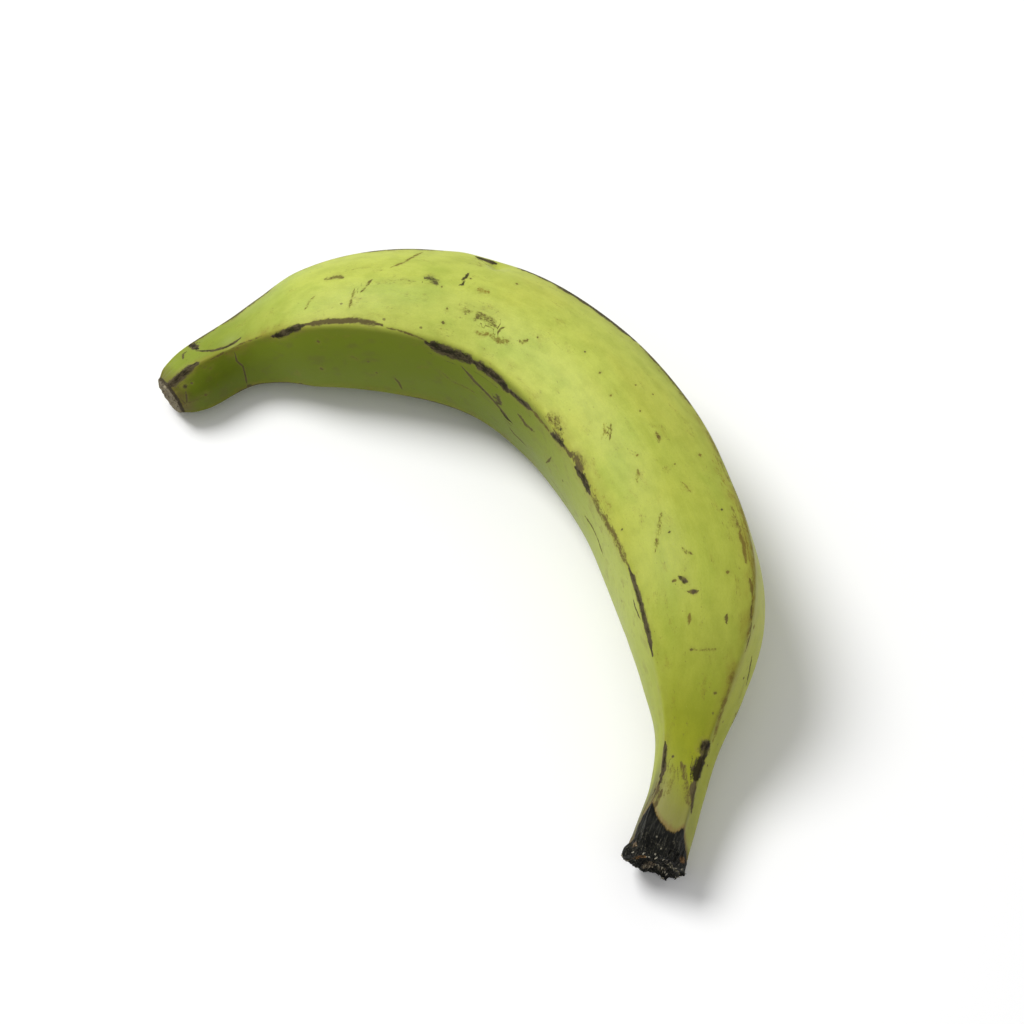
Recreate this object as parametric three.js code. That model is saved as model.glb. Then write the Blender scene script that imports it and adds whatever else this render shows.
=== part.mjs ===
// Plantain: one whole green fruit lying on its side, its axis bowed through about 140 degrees.
// The skin is one closed solid, swept along a curved axis from the blunt blossom tip to the
// cut stalk. Its section has five ridges with bulging facets between them, and it swells from
// the tip, keeps its girth along the belly and narrows quickly into the neck and the stalk.
//
// Millimetres, +Z up. The origin is under the middle of the fruit, on the surface that it
// lies on. The tip is at -X, the stalk at +X, and the outside of the bow faces +Y.
import * as THREE from 'three';

// ---- driving dimensions ---------------------------------------------------------------

// Axis of the fruit from the tip to the cut stalk, in steps of about 27 mm.
const AXIS = [
  [-106.9, -50.5, 8.1], [-103.5, -23.8, 10], [-88.8, -0.9, 18], [-69.5, 17.9, 21.5],
  [-46.1, 31.1, 22], [-19.4, 34.6, 22.1], [7.4, 31.4, 22.1], [34, 23.2, 23],
  [59, 11.4, 24.1], [78.3, -5.9, 19], [94.4, -26.7, 12.8], [106.9, -47.9, 9],
];

// Radius over the ridges, as [share of the axis from the tip, radius].
const GIRTH = [
  [0, 6.2], [0.01, 8.2], [0.03, 9.8], [0.083, 10.7], [0.12, 13.6], [0.163, 18.2], [0.25, 21.9],
  [0.35, 23.3], [0.5, 24.9], [0.62, 25.3], [0.7, 26], [0.77, 23.9], [0.83, 17.6], [0.88, 11.7],
  [0.93, 9.6], [0.965, 9.7], [1, 9.9],
];

// Where each ridge runs round the fruit, as [share of the axis, degrees]. 0 is the outside of
// the bow, 90 is up, 180 is the inside of the bow and 270 is down. The fruit twists a little,
// so the ridges wander.
const OUTER_RIDGE = [[0, 38], [0.3, 40], [0.55, 36], [0.7, 51], [0.8, 57], [0.9, 63], [1, 58]];
const INNER_RIDGE = [
  [0, 92], [0.1, 113], [0.2, 127], [0.32, 136.5], [0.5, 140], [0.65, 142.5], [0.75, 137],
  [0.85, 129], [1, 121],
];
const INNER_FOOT_RIDGE = [[0, 195], [0.15, 205], [0.5, 220], [0.85, 215], [1, 208]];
const OUTER_FOOT_RIDGE = [[0, 300], [0.5, 297], [0.85, 295], [1, 285]];

// The fifth ridge is a soft one, half way between the two upper ridges and a little lower.
const SOFT_RIDGE_RADIUS = [[0, 0.95], [0.15, 0.93], [0.5, 0.93], [0.8, 0.94], [0.9, 0.93], [1, 0.93]];

// How far a facet bulges from a flat chord (0) towards a round arc (1). The two facets on
// either side of the soft ridge are rounder than the others.
const BULGE = [[0, 0.9], [0.05, 0.6], [0.12, 0.5], [0.88, 0.5], [1, 0.65]];
const SOFT_BULGE = [[0, 0.9], [0.05, 0.75], [0.12, 0.67], [0.88, 0.67], [1, 0.75]];

// A firm ridge carries a fine raised crest: its height and half width.
const CREST = { height: 0.35, halfWidthDegrees: 5 };

// Corners are eased over this many degrees to each side.
const CORNER_EASE_DEGREES = 7;

// The blossom tip: a blunt scar, as [distance past the end of the axis, share of the radius].
// Its face is a shallow pit.
const TIP_SCAR = [[0.5, 0.97], [0.9, 0.9], [1.1, 0.78], [0.8, 0.58], [0.3, 0.36], [0.6, 0.16]];
const TIP_POLE = 0.7;

// The tip's end slants, furthest out at this angle, over the first stretch of the axis.
const TIP_SLANT = { angle: 50, slope: 0.06, stretch: 0.03 };

// The cut stalk: a torn rim that rolls over into a hollow face, in the same terms.
const STALK_CUT = [[0.8, 1.02], [1.5, 0.94], [1.3, 0.8], [0.3, 0.62], [-0.5, 0.42], [-0.1, 0.2]];
const STALK_POLE = -0.2;

// Lumps of the torn rim, as [lobes round the rim, phase in degrees, share of the radius].
const RIM_LUMPS = [[2, 20, 0.06], [3, 240, 0.03], [5, 280, 0.045]];
const RIM_LUMPS_START = 0.989;
const RIM_LIFT = 9;

// Mesh: rings along the axis, as [share up to which, number of rings], and the columns of one
// facet, as shares of its width, closer together at its ridges.
const RINGS = [[0.03, 5], [0.16, 13], [0.74, 34], [0.9, 17], [0.98, 6], [1, 6]];
const COLUMNS = [0, 0.05, 0.12, 0.25, 0.42, 0.58, 0.75, 0.88, 0.95];

const SKIN = { color: 0xa9be4c, roughness: 0.5, metalness: 0 };

// ---- small helpers --------------------------------------------------------------------

const radians = THREE.MathUtils.degToRad;
const UP = new THREE.Vector3(0, 0, 1);

// Smooth value at a share, through rows of [share, value].
function smooth(rows, share) {
  const last = rows.length - 1;
  let row = 0;
  while (row < last - 1 && share > rows[row + 1][0]) row += 1;
  const slope = (i) => {
    const before = rows[Math.max(i - 1, 0)];
    const after = rows[Math.min(i + 1, last)];
    return (after[1] - before[1]) / (after[0] - before[0]);
  };
  const [start, from] = rows[row];
  const [end, to] = rows[row + 1];
  const width = end - start;
  const t = THREE.MathUtils.clamp((share - start) / width, 0, 1);
  const t2 = t * t;
  const t3 = t2 * t;
  return (2 * t3 - 3 * t2 + 1) * from + (t3 - 2 * t2 + t) * width * slope(row)
    + (3 * t2 - 2 * t3) * to + (t3 - t2) * width * slope(row + 1);
}

// ---- the section ----------------------------------------------------------------------

// The five ridges at a share of the axis, in the order they come round: their angle in
// degrees, radius as a share of the girth, and the bulge of the facet that follows.
function ridgesAt(share) {
  const outer = smooth(OUTER_RIDGE, share);
  const inner = smooth(INNER_RIDGE, share);
  const bulge = smooth(BULGE, share);
  const softBulge = smooth(SOFT_BULGE, share);
  return [
    { angle: outer, radius: 1, crest: 1, bulge: softBulge },
    { angle: (outer + inner) / 2, radius: smooth(SOFT_RIDGE_RADIUS, share), crest: 0, bulge: softBulge },
    { angle: inner, radius: 1, crest: 1, bulge },
    { angle: smooth(INNER_FOOT_RIDGE, share), radius: 1, crest: 1, bulge },
    { angle: smooth(OUTER_FOOT_RIDGE, share), radius: 1, crest: 1, bulge },
  ];
}

// Radius of the section with sharp corners: between two ridges it runs between a straight
// chord and a round arc.
function sharpRadius(ridges, angle) {
  const first = ridges[0].angle;
  const turn = THREE.MathUtils.euclideanModulo(angle - first, 360);
  let i = ridges.length - 1;
  while (turn < ridges[i].angle - first) i -= 1;
  const a = ridges[i];
  const b = ridges[(i + 1) % ridges.length];
  const start = a.angle - first;
  const end = i + 1 < ridges.length ? b.angle - first : 360;
  const chord = a.radius * b.radius * Math.sin(radians(end - start))
    / (a.radius * Math.sin(radians(turn - start)) + b.radius * Math.sin(radians(end - turn)));
  const arc = THREE.MathUtils.lerp(a.radius, b.radius, (turn - start) / (end - start));
  return chord + a.bulge * (arc - chord);
}

// The same with its corners eased, as a weighted mean over nearby angles.
const EASE = [[-1, 0.08], [-0.6, 0.14], [-0.25, 0.18], [0, 0.2], [0.25, 0.18], [0.6, 0.14], [1, 0.08]];
function easedRadius(ridges, angle) {
  return EASE.reduce((sum, [offset, weight]) => (
    sum + weight * sharpRadius(ridges, angle + offset * CORNER_EASE_DEGREES)), 0);
}

// Height of the fine crests at an angle.
function crestHeight(ridges, angle) {
  return ridges.reduce((sum, ridge) => {
    const away = THREE.MathUtils.euclideanModulo(angle - ridge.angle + 180, 360) - 180;
    return sum + ridge.crest * CREST.height * Math.exp(-((away / CREST.halfWidthDegrees) ** 2));
  }, 0);
}

// Lumps of the torn rim as a share of the radius, growing over the last stretch of stalk.
function rimLumps(share, angle) {
  const strength = THREE.MathUtils.smoothstep(share, RIM_LUMPS_START, 1);
  return strength * RIM_LUMPS.reduce((sum, [lobes, phase, size]) => (
    sum + size * Math.cos(radians(lobes * angle + phase))), 0);
}

// How far the tip's end is moved out at an angle, as a share of the radius there.
function tipSlant(share, angle) {
  const strength = 1 - THREE.MathUtils.smoothstep(share, 0, TIP_SLANT.stretch);
  return TIP_SLANT.slope * strength * Math.cos(radians(angle - TIP_SLANT.angle));
}

// ---- the surface ----------------------------------------------------------------------

const axis = new THREE.CatmullRomCurve3(
  AXIS.map(([x, y, z]) => new THREE.Vector3(x, y, z)), false, 'catmullrom', 0.5);
axis.arcLengthDivisions = 600;

// Place and directions of the section at a share: along the axis, up and out of the bow.
function frameAt(share) {
  const centre = axis.getPointAt(share);
  const along = axis.getTangentAt(share);
  const up = UP.clone().addScaledVector(along, -along.z).normalize();
  const out = new THREE.Vector3().crossVectors(up, along);
  return { centre, along, up, out };
}

// Angles of all columns at a share, so that a line of vertices follows every ridge.
function columnAngles(ridges) {
  return ridges.flatMap((ridge, i) => {
    const next = i + 1 < ridges.length ? ridges[i + 1].angle : ridges[0].angle + 360;
    return COLUMNS.map((t) => THREE.MathUtils.lerp(ridge.angle, next, t));
  });
}

// One ring of the skin. Past either end of the axis it is drawn in by `scale` and moved out
// by `past`. What would reach below the surface is laid flat on it.
function ring(share, past = 0, scale = 1) {
  const { centre, along, up, out } = frameAt(share);
  const ridges = ridgesAt(share);
  const girth = smooth(GIRTH, share);
  return columnAngles(ridges).map((angle) => {
    const lumps = rimLumps(share, angle);
    const section = girth * easedRadius(ridges, angle) + crestHeight(ridges, angle);
    const radius = scale * section * (1 + lumps);
    const lift = past + RIM_LIFT * scale * lumps - tipSlant(share, angle) * radius;
    const point = centre.clone()
      .addScaledVector(along, lift)
      .addScaledVector(out, radius * Math.cos(radians(angle)))
      .addScaledVector(up, radius * Math.sin(radians(angle)));
    point.z = Math.max(point.z, 0);
    return point;
  });
}

// Shares of the axis at which there is a ring.
function ringShares() {
  const shares = [0];
  for (const [end, count] of RINGS) {
    const start = shares[shares.length - 1];
    for (let i = 1; i <= count; i += 1) shares.push(THREE.MathUtils.lerp(start, end, i / count));
  }
  return shares;
}

function skinGeometry() {
  const rings = [
    ...TIP_SCAR.map(([past, scale]) => ring(0, -past, scale)).reverse(),
    ...ringShares().map((share) => ring(share)),
    ...STALK_CUT.map(([past, scale]) => ring(1, past, scale)),
  ];
  const columns = rings[0].length;
  const tip = frameAt(0);
  const stalk = frameAt(1);
  const points = [
    tip.centre.addScaledVector(tip.along, -TIP_POLE),
    ...rings.flat(),
    stalk.centre.addScaledVector(stalk.along, STALK_POLE),
  ];
  const faces = [];
  for (let column = 0; column < columns; column += 1) {
    const next = (column + 1) % columns;
    faces.push(0, 1 + next, 1 + column);
    for (let row = 0; row + 1 < rings.length; row += 1) {
      const near = 1 + row * columns;
      const far = near + columns;
      faces.push(near + column, far + next, far + column);
      faces.push(near + column, near + next, far + next);
    }
    const last = 1 + (rings.length - 1) * columns;
    faces.push(points.length - 1, last + column, last + next);
  }
  const geometry = new THREE.BufferGeometry().setFromPoints(points);
  geometry.setIndex(faces);
  geometry.computeVertexNormals();
  return geometry;
}

const plantain = new THREE.Mesh(skinGeometry(), new THREE.MeshStandardMaterial(SKIN));
plantain.name = 'plantain';

const fruit = new THREE.Group();
fruit.add(plantain);

export default fruit;
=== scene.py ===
"""A whole green plantain on a pale floor: the fine skin, its marks, its materials and the light.

Tables are in millimetres and degrees, in the same frame as the solid: the tip at -X, the cut
stalk at +X, the outside of the bow towards +Y. MM turns them into Blender's metres.
"""
import math

import bpy
import numpy as np
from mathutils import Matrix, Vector, noise


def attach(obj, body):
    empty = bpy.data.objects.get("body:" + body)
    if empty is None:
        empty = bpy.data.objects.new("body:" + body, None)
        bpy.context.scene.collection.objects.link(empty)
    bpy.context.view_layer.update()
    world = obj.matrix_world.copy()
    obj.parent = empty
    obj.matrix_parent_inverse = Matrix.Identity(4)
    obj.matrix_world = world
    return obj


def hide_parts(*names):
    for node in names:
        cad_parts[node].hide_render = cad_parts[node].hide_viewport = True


MM = 0.001
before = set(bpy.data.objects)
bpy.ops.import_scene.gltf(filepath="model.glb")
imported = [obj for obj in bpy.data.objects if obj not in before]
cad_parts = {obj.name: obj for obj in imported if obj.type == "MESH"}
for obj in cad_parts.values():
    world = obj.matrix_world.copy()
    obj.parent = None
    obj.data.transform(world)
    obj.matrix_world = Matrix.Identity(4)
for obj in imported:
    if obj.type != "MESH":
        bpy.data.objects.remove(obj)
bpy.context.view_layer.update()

# ---- the form of the fruit, as the solid has it ----

# Points of the axis; radius over the ridges, as (share of the axis from the tip, mm); and where
# each ridge runs round the fruit, as (share, degrees). 0 is the outside of the bow, 90 is up.
AXIS = [
    (-106.9, -50.5, 8.1), (-103.5, -23.8, 10), (-88.8, -0.9, 18), (-69.5, 17.9, 21.5),
    (-46.1, 31.1, 22), (-19.4, 34.6, 22.1), (7.4, 31.4, 22.1), (34, 23.2, 23), (59, 11.4, 24.1),
    (78.3, -5.9, 19), (94.4, -26.7, 12.8), (106.9, -47.9, 9),
]
GIRTH = [
    (0, 6.2), (0.01, 8.2), (0.03, 9.8), (0.083, 10.7), (0.12, 13.6), (0.163, 18.2), (0.25, 21.9),
    (0.35, 23.3), (0.5, 24.9), (0.62, 25.3), (0.7, 26), (0.77, 23.9), (0.83, 17.6), (0.88, 11.7),
    (0.93, 9.6), (0.965, 9.7), (1, 9.9),
]
OUTER_RIDGE = [(0, 38), (0.3, 40), (0.55, 36), (0.7, 51), (0.8, 57), (0.9, 63), (1, 58)]
INNER_RIDGE = [
    (0, 92), (0.1, 113), (0.2, 127), (0.32, 136.5), (0.5, 140), (0.65, 142.5), (0.75, 137),
    (0.85, 129), (1, 121),
]
INNER_FOOT_RIDGE = [(0, 195), (0.15, 205), (0.5, 220), (0.85, 215), (1, 208)]
OUTER_FOOT_RIDGE = [(0, 300), (0.5, 297), (0.85, 295), (1, 285)]
# The soft ridge is half way between the outer and the inner one, and lower than they are.
SOFT_RIDGE_RADIUS = [(0, 0.95), (0.15, 0.93), (0.5, 0.93), (0.8, 0.94), (0.9, 0.93), (1, 0.93)]
# How far a facet bulges from a chord, 0, towards an arc, 1.
BULGE = [(0, 0.9), (0.05, 0.6), (0.12, 0.5), (0.88, 0.5), (1, 0.65)]
SOFT_BULGE = [(0, 0.9), (0.05, 0.75), (0.12, 0.67), (0.88, 0.67), (1, 0.75)]
CREST_HEIGHT = 0.35
CREST_HALF_WIDTH = 5       # degrees
# Corners are eased over some degrees to each side, as (share of them, weight).
CORNER_EASE = 7
EASE = [(-1, 0.08), (-0.6, 0.14), (-0.25, 0.18), (0, 0.2), (0.25, 0.18), (0.6, 0.14), (1, 0.08)]
# The end faces, as (mm past the end of the axis, share of the radius).
TIP_SCAR = [
    (0, 1), (0.5, 0.97), (0.9, 0.9), (1.1, 0.78), (0.8, 0.58), (0.3, 0.36), (0.6, 0.16), (0.7, 0),
]
STALK_CUT = [
    (0, 1), (0.8, 1.02), (1.5, 0.94), (1.3, 0.8), (0.3, 0.62), (-0.5, 0.42), (-0.1, 0.2), (-0.2, 0),
]
TIP_SLANT_ANGLE = 50
TIP_SLANT_SLOPE = 0.06
TIP_SLANT_STRETCH = 0.03
# Lumps of the stalk's rim, as (lobes round it, phase in degrees, share of the radius).
RIM_LUMPS = [(2, 20, 0.06), (3, 240, 0.03), (5, 280, 0.045)]
RIM_LUMPS_START = 0.989
RIM_LIFT = 9

# The ridges in their order round the fruit.
OUTER, SOFT, INNER, INNER_FOOT, OUTER_FOOT = range(5)

# The mesh: rings on the body and on each end's face, and columns of one facet, which crowd
# together beside the ridges.
BODY_RINGS = 450
FACE_RINGS = 16
FACET_COLUMNS = 34
CROWDING = 0.45

# Shares of the axis beyond which a ring is on the face of the scar or of the cut.
ON_SCAR = 0.001
ON_CUT = 0.999

# ---- the view ----

PHOTO_SIZE = 1024
VIEW_AZIMUTH = 48.5
VIEW_ELEVATION = 57
VIEW_DISTANCE = 1000
VIEW_TARGET = (-3.6, -4, 15)
VIEW_FOCAL = 3400          # in pixels of the photograph
SENSOR_WIDTH = 36
FACING_VIEW = 0.05         # least cosine at which the skin counts as seen

# They keep a division from going by 0.
TINY = 1e-9
TINY_AREA = 1e-12
SHORTEST = 1e-6            # mm


def smooth(rows, share):
    """Smooth value at each share, through rows of (share, value)."""
    place, value = np.array(rows, float).T
    before = np.maximum(np.arange(len(rows)) - 1, 0)
    after = np.minimum(np.arange(len(rows)) + 1, len(rows) - 1)
    slope = (value[after] - value[before]) / (place[after] - place[before])
    share = np.asarray(share, float)
    i = np.clip(np.searchsorted(place, share, side="right") - 1, 0, len(rows) - 2)
    width = place[i + 1] - place[i]
    t = np.clip((share - place[i]) / width, 0, 1)
    return ((2 * t**3 - 3 * t**2 + 1) * value[i] + (t**3 - 2 * t**2 + t) * width * slope[i]
            + (3 * t**2 - 2 * t**3) * value[i + 1] + (t**3 - t**2) * width * slope[i + 1])


def smoothstep(low, high, x):
    t = np.clip((x - low) / (high - low), 0, 1)
    return t * t * (3 - 2 * t)


def unit(v):
    return v / np.linalg.norm(v, axis=-1, keepdims=True)


class Axis:
    """The curved axis of the fruit, by share of its length."""

    POINTS = 6000       # of the fine line that stands for it
    NEARBY = 0.002      # share to each side that a direction is measured over

    def __init__(self, points):
        index = np.arange(len(points))
        fine = np.linspace(0, len(points) - 1, self.POINTS)
        self.line = np.stack([smooth(list(zip(index, column)), fine)
                              for column in np.array(points, float).T], axis=1)
        gaps = np.linalg.norm(np.diff(self.line, axis=0), axis=1)
        self.distance = np.concatenate([[0], np.cumsum(gaps)])
        self.length = self.distance[-1]

    def at(self, share):
        return np.stack([np.interp(np.asarray(share) * self.length, self.distance, column)
                         for column in self.line.T], axis=-1)

    def frames(self, share):
        """Centre, direction along, direction up and direction out of the bow."""
        after, before = np.clip(share + self.NEARBY, 0, 1), np.clip(share - self.NEARBY, 0, 1)
        along = unit(self.at(after) - self.at(before))
        up = unit(np.array([0, 0, 1.0]) - along * along[:, 2:])
        return self.at(share), along, up, np.cross(up, along)


def ridges_at(share):
    """Angles and radii of the five ridges and the bulge after each, one row for each share."""
    outer = smooth(OUTER_RIDGE, share)
    inner = smooth(INNER_RIDGE, share)
    angles = np.stack([outer, (outer + inner) / 2, inner,
                       smooth(INNER_FOOT_RIDGE, share), smooth(OUTER_FOOT_RIDGE, share)], axis=1)
    radii = np.ones_like(angles)
    radii[:, SOFT] = smooth(SOFT_RIDGE_RADIUS, share)
    firm, soft = smooth(BULGE, share), smooth(SOFT_BULGE, share)
    return angles, radii, np.stack([soft, soft, firm, firm, firm], axis=1)


def sharp_radius(angles, radii, bulges, angle):
    """Radius of the section with sharp corners, at angles given as one row for each share."""
    turn = np.mod(angle - angles[:, :1], 360)
    result = np.zeros_like(turn)
    starts = angles - angles[:, :1]
    ends = np.roll(starts, -1, axis=1)
    ends[:, -1] = 360
    for columns in zip(starts.T, ends.T, radii.T, np.roll(radii, -1, axis=1).T, bulges.T):
        start, end, a, b, bulge = (column[:, None] for column in columns)
        width = end - start
        chord = a * b * np.sin(np.radians(width)) / (
            a * np.sin(np.radians(turn - start)) + b * np.sin(np.radians(end - turn)) + TINY)
        arc = a + (b - a) * (turn - start) / width
        inside = (turn >= start - TINY) & (turn <= end + TINY)
        result = np.where(inside, chord + bulge * (arc - chord), result)
    return result


class Skin:
    """The fruit's surface as a grid of rings and columns."""

    def __init__(self):
        self.axis = Axis(AXIS)
        face = np.linspace(0, 1, FACE_RINGS + 1)[1:-1]
        index = np.linspace(0, 1, len(TIP_SCAR))
        tip_past, tip_scale = (smooth(list(zip(index, c)), face) for c in zip(*TIP_SCAR))
        cut_past, cut_scale = (smooth(list(zip(index, c)), face) for c in zip(*STALK_CUT))
        body = np.linspace(0, 1, BODY_RINGS)
        self.share = np.concatenate([np.zeros(len(face)), body, np.ones(len(face))])
        self.past = np.concatenate([-tip_past[::-1], np.zeros(BODY_RINGS), cut_past])
        self.scale = np.concatenate([tip_scale[::-1], np.ones(BODY_RINGS), cut_scale])
        self.angles, self.radii, self.bulges = ridges_at(self.share)
        self.angle = self.column_angles()
        self.centre, self.along, self.up, self.out = self.axis.frames(self.share)
        self.radius, self.lift = self.sections()
        self.points = self.place(self.radius)

    def column_angles(self):
        """Columns follow the ridges and stand closer together beside them."""
        step = np.arange(FACET_COLUMNS) / FACET_COLUMNS
        step = step - CROWDING * np.sin(2 * np.pi * step) / (2 * np.pi)
        after = np.concatenate([self.angles[:, 1:], self.angles[:, :1] + 360], axis=1)
        facets = self.angles[:, :, None] + (after - self.angles)[:, :, None] * step
        return facets.reshape(len(self.share), -1)

    def beside(self, ridge, half_width):
        """How near each point is to a ridge: 1 on it, and less and less over some degrees."""
        away = np.mod(self.angle - self.angles[:, ridge:ridge + 1] + 180, 360) - 180
        return np.exp(-(away / half_width) ** 2)

    def sections(self):
        """Radius of each point, and how far it is moved along the axis."""
        eased = sum(weight * sharp_radius(self.angles, self.radii, self.bulges,
                                          self.angle + offset * CORNER_EASE)
                    for offset, weight in EASE)
        crest = sum(self.beside(ridge, CREST_HALF_WIDTH)
                    for ridge in (OUTER, INNER, INNER_FOOT, OUTER_FOOT))
        lumps = sum(size * np.cos(np.radians(lobes * self.angle + phase))
                    for lobes, phase, size in RIM_LUMPS)
        lumps = lumps * smoothstep(RIM_LUMPS_START, 1, self.share)[:, None]
        girth = smooth(GIRTH, self.share)[:, None]
        radius = self.scale[:, None] * (girth * eased + CREST_HEIGHT * crest) * (1 + lumps)
        slant = TIP_SLANT_SLOPE * (1 - smoothstep(0, TIP_SLANT_STRETCH, self.share))[:, None]
        lift = self.past[:, None] + RIM_LIFT * self.scale[:, None] * lumps
        lift = lift - slant * np.cos(np.radians(self.angle - TIP_SLANT_ANGLE)) * radius
        return radius, lift

    def place(self, radius):
        turn = np.radians(self.angle)[:, :, None]
        spoke = np.cos(turn) * self.out[:, None] + np.sin(turn) * self.up[:, None]
        return (self.centre[:, None] + self.along[:, None] * self.lift[:, :, None]
                + radius[:, :, None] * spoke)

    def normals(self):
        """Outward normals of the grid, from its neighbouring points."""
        down = np.gradient(self.points, axis=0)
        across = np.roll(self.points, -1, axis=1) - np.roll(self.points, 1, axis=1)
        return unit(np.cross(across, down) + TINY_AREA)

    def grown(self):
        """Places as if the fruit were straight: patterns in these places follow its growth."""
        turn = np.radians(self.angle)
        along = self.share[:, None] * self.axis.length + self.lift
        return np.stack([along, self.radius * np.cos(turn), self.radius * np.sin(turn)], axis=2)


def view_axes():
    """The camera's right, up and back directions."""
    a, e = math.radians(VIEW_AZIMUTH), math.radians(VIEW_ELEVATION)
    back = np.array([math.sin(a) * math.cos(e), -math.cos(a) * math.cos(e), math.sin(e)])
    right = unit(np.cross([0, 0, 1.0], back))
    return right, np.cross(back, right), back


def seen_at(points):
    """Where points of the fruit are seen, in pixels of the photograph."""
    right, up, back = view_axes()
    offset = points - (np.array(VIEW_TARGET) + back * VIEW_DISTANCE)
    depth = -(offset @ back)
    middle = PHOTO_SIZE / 2
    return np.stack([middle + VIEW_FOCAL * (offset @ right) / depth,
                     middle - VIEW_FOCAL * (offset @ up) / depth], axis=-1)


# ---- marks on the peel ----
# Each is (half width in mm, cover, tone, x and y of the pixels that it runs through). Cover is
# how much of it is marked, 0 to 1. Tone goes from the deepest black, -0.1, through grey-brown
# to yellow-brown, 1.

SCUFFS = [
    # along the inner ridge, from the tip to the stalk
    (1.3, 1, 0.1, 161, 397, 170, 386, 179, 377, 188, 369, 198, 362),
    (1, 1, 0, 190, 344, 194, 346, 197, 349),
    (0.35, 0.6, 0.5, 211, 359, 222, 353, 240, 344, 262, 336),
    (1, 1, 0, 273, 336, 281, 334, 292, 330, 303, 325),
    (0.85, 0.82, 0.3, 304, 324, 330, 321, 355, 320, 382, 325),
    (0.4, 0.6, 0.4, 386, 328, 404, 332, 427, 341),
    (1.7, 1, 0, 427, 342, 438, 347, 451, 354, 464, 358, 476, 364),
    (1.5, 1, 0, 472, 362, 485, 369, 496, 378, 505, 387, 513, 393),
    (0.95, 0.92, 0.1, 508, 390, 520, 400, 531, 410),
    (0.75, 0.66, 0.45, 532, 411, 542, 422, 549, 431), (2, 0.5, 0.5, 548, 415, 556, 423, 563, 435),
    (1.1, 0.92, 0.08, 551, 433, 557, 439, 564, 446),
    (0.75, 0.75, 0.3, 564, 447, 567, 452, 571, 458), (1.7, 0.75, 0.3, 571, 455, 577, 461, 582, 470),
    (1.35, 1, 0, 576, 468, 583, 478, 590, 494),
    (1.2, 0.66, 0.45, 590, 494, 601, 512, 612, 533, 622, 553, 628, 566),
    (1.6, 0.3, 0.8, 597, 490, 604, 500, 610, 512),
    (0.85, 0.97, 0.1, 628, 566, 634, 582, 641, 606, 648, 632, 653, 656),
    # along the outer ridge
    (0.85, 1, 0, 476, 257, 486, 260, 497, 264), (1.3, 0.4, 0.8, 473, 259, 477, 262, 480, 266),
    (1.3, 0.35, 0.9, 712, 459, 722, 480, 731, 502), (1, 0.5, 0.7, 731, 506, 736, 518, 740, 530),
    (0.8, 0.75, 0.75, 739, 532, 744, 545, 747, 562), (0.7, 0.8, 0.7, 750, 578, 752, 586, 752, 596),
    (0.5, 0.75, 0.55, 752, 602, 752, 616, 749, 636, 744, 652),
    (1, 0.5, 0.8, 733, 672, 729, 684, 727, 697), (1.25, 0.62, 0.75, 727, 694, 720, 715, 713, 740),
    (1.75, 1, -0.1, 708, 746, 706, 750, 705, 755),
    (1.65, 1, -0.1, 704, 757, 701, 764, 698, 770, 696, 779),
    (1.2, 0.85, 0.2, 695, 782, 692, 791, 691, 812),
    # on the neck
    (0.75, 1, 0.1, 665, 742, 664, 760, 663, 775), (0.95, 0.95, 0.1, 662, 773, 658, 784, 653, 793),
    (0.75, 0.85, 0.25, 659, 786, 654, 797, 649, 808),
    (0.6, 0.75, 0.3, 662, 790, 658, 799, 654, 808), (0.45, 0.7, 0.35, 651, 797, 646, 807, 642, 816),
    (1, 0.6, 0.45, 682, 762, 684, 772, 687, 783), (1.9, 0.42, 0.55, 660, 778, 655, 791, 649, 806),
    (1.3, 0.42, 0.6, 673, 766, 671, 780, 668, 794), (1.3, 0.5, 0.55, 686, 782, 687, 794, 689, 806),
    # under the ridge beside the tip
    (1.2, 0.4, 0.75, 227, 354, 235, 350, 245, 346), (1.1, 0.42, 0.6, 172, 390, 178, 398, 186, 406),
]

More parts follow.
